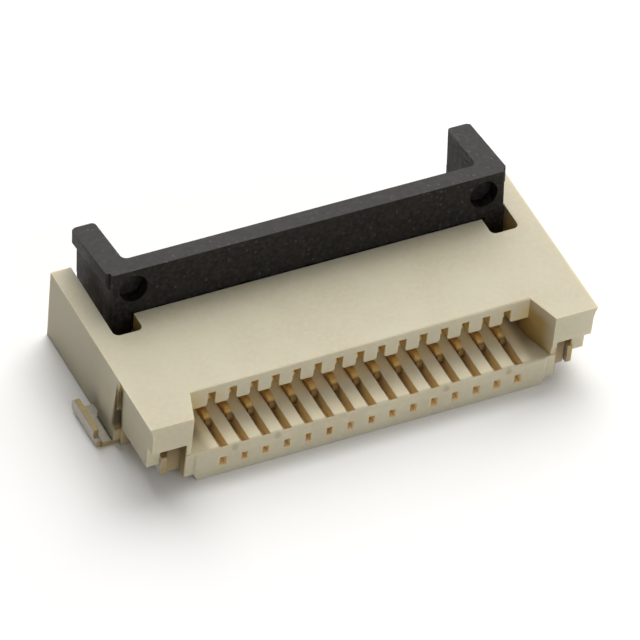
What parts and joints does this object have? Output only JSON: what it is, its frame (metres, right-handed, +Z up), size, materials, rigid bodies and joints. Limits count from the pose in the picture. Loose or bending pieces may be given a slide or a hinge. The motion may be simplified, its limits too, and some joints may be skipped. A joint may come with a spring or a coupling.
{
  "type": "fpc connector",
  "caption": "Surface-mount right-angle connector for a flat flexible cable, with a rotary back-flip locking actuator, stamped contacts and folded hold-downs.",
  "frame": {"origin": "middle of the whole part's bounding box in plan, on the circuit board's surface", "axes": "+X along the row of contacts, to the right when looking into the cable mouth from the front; +Y from the cable mouth towards the solder tails; +Z up, away from the board"},
  "size_m": [0.0114, 0.0058, 0.0029],
  "materials": {
    "housing": "natural ivory liquid-crystal polymer, fine matt moulded surface",
    "actuator": "black glass-filled polymer, matt with a fine pale fleck",
    "hold_down": "matt tin plating, warm grey, yellowish cut edges",
    "contact": "gold plating on stamped phosphor bronze"
  },
  "bodies": {
    "base": {"housing": "housing", "hold_down_left": "hold_down", "hold_down_right": "hold_down", "contact_01": "contact", "contact_02": "contact", "contact_03": "contact", "contact_04": "contact", "contact_05": "contact", "contact_06": "contact", "contact_07": "contact", "contact_08": "contact", "contact_09": "contact", "contact_10": "contact", "contact_11": "contact", "contact_12": "contact", "contact_13": "contact", "contact_14": "contact", "contact_15": "contact"},
    "flap": {"actuator": "actuator"}
  },
  "joints": [
    {"name": "actuator_turn", "type": "hinge", "parent": "base", "child": "flap", "pos_m": [0, 0.00089, 0.00158], "axis": [-1, 0, 0], "range_deg": [0, 82]}
  ]
}
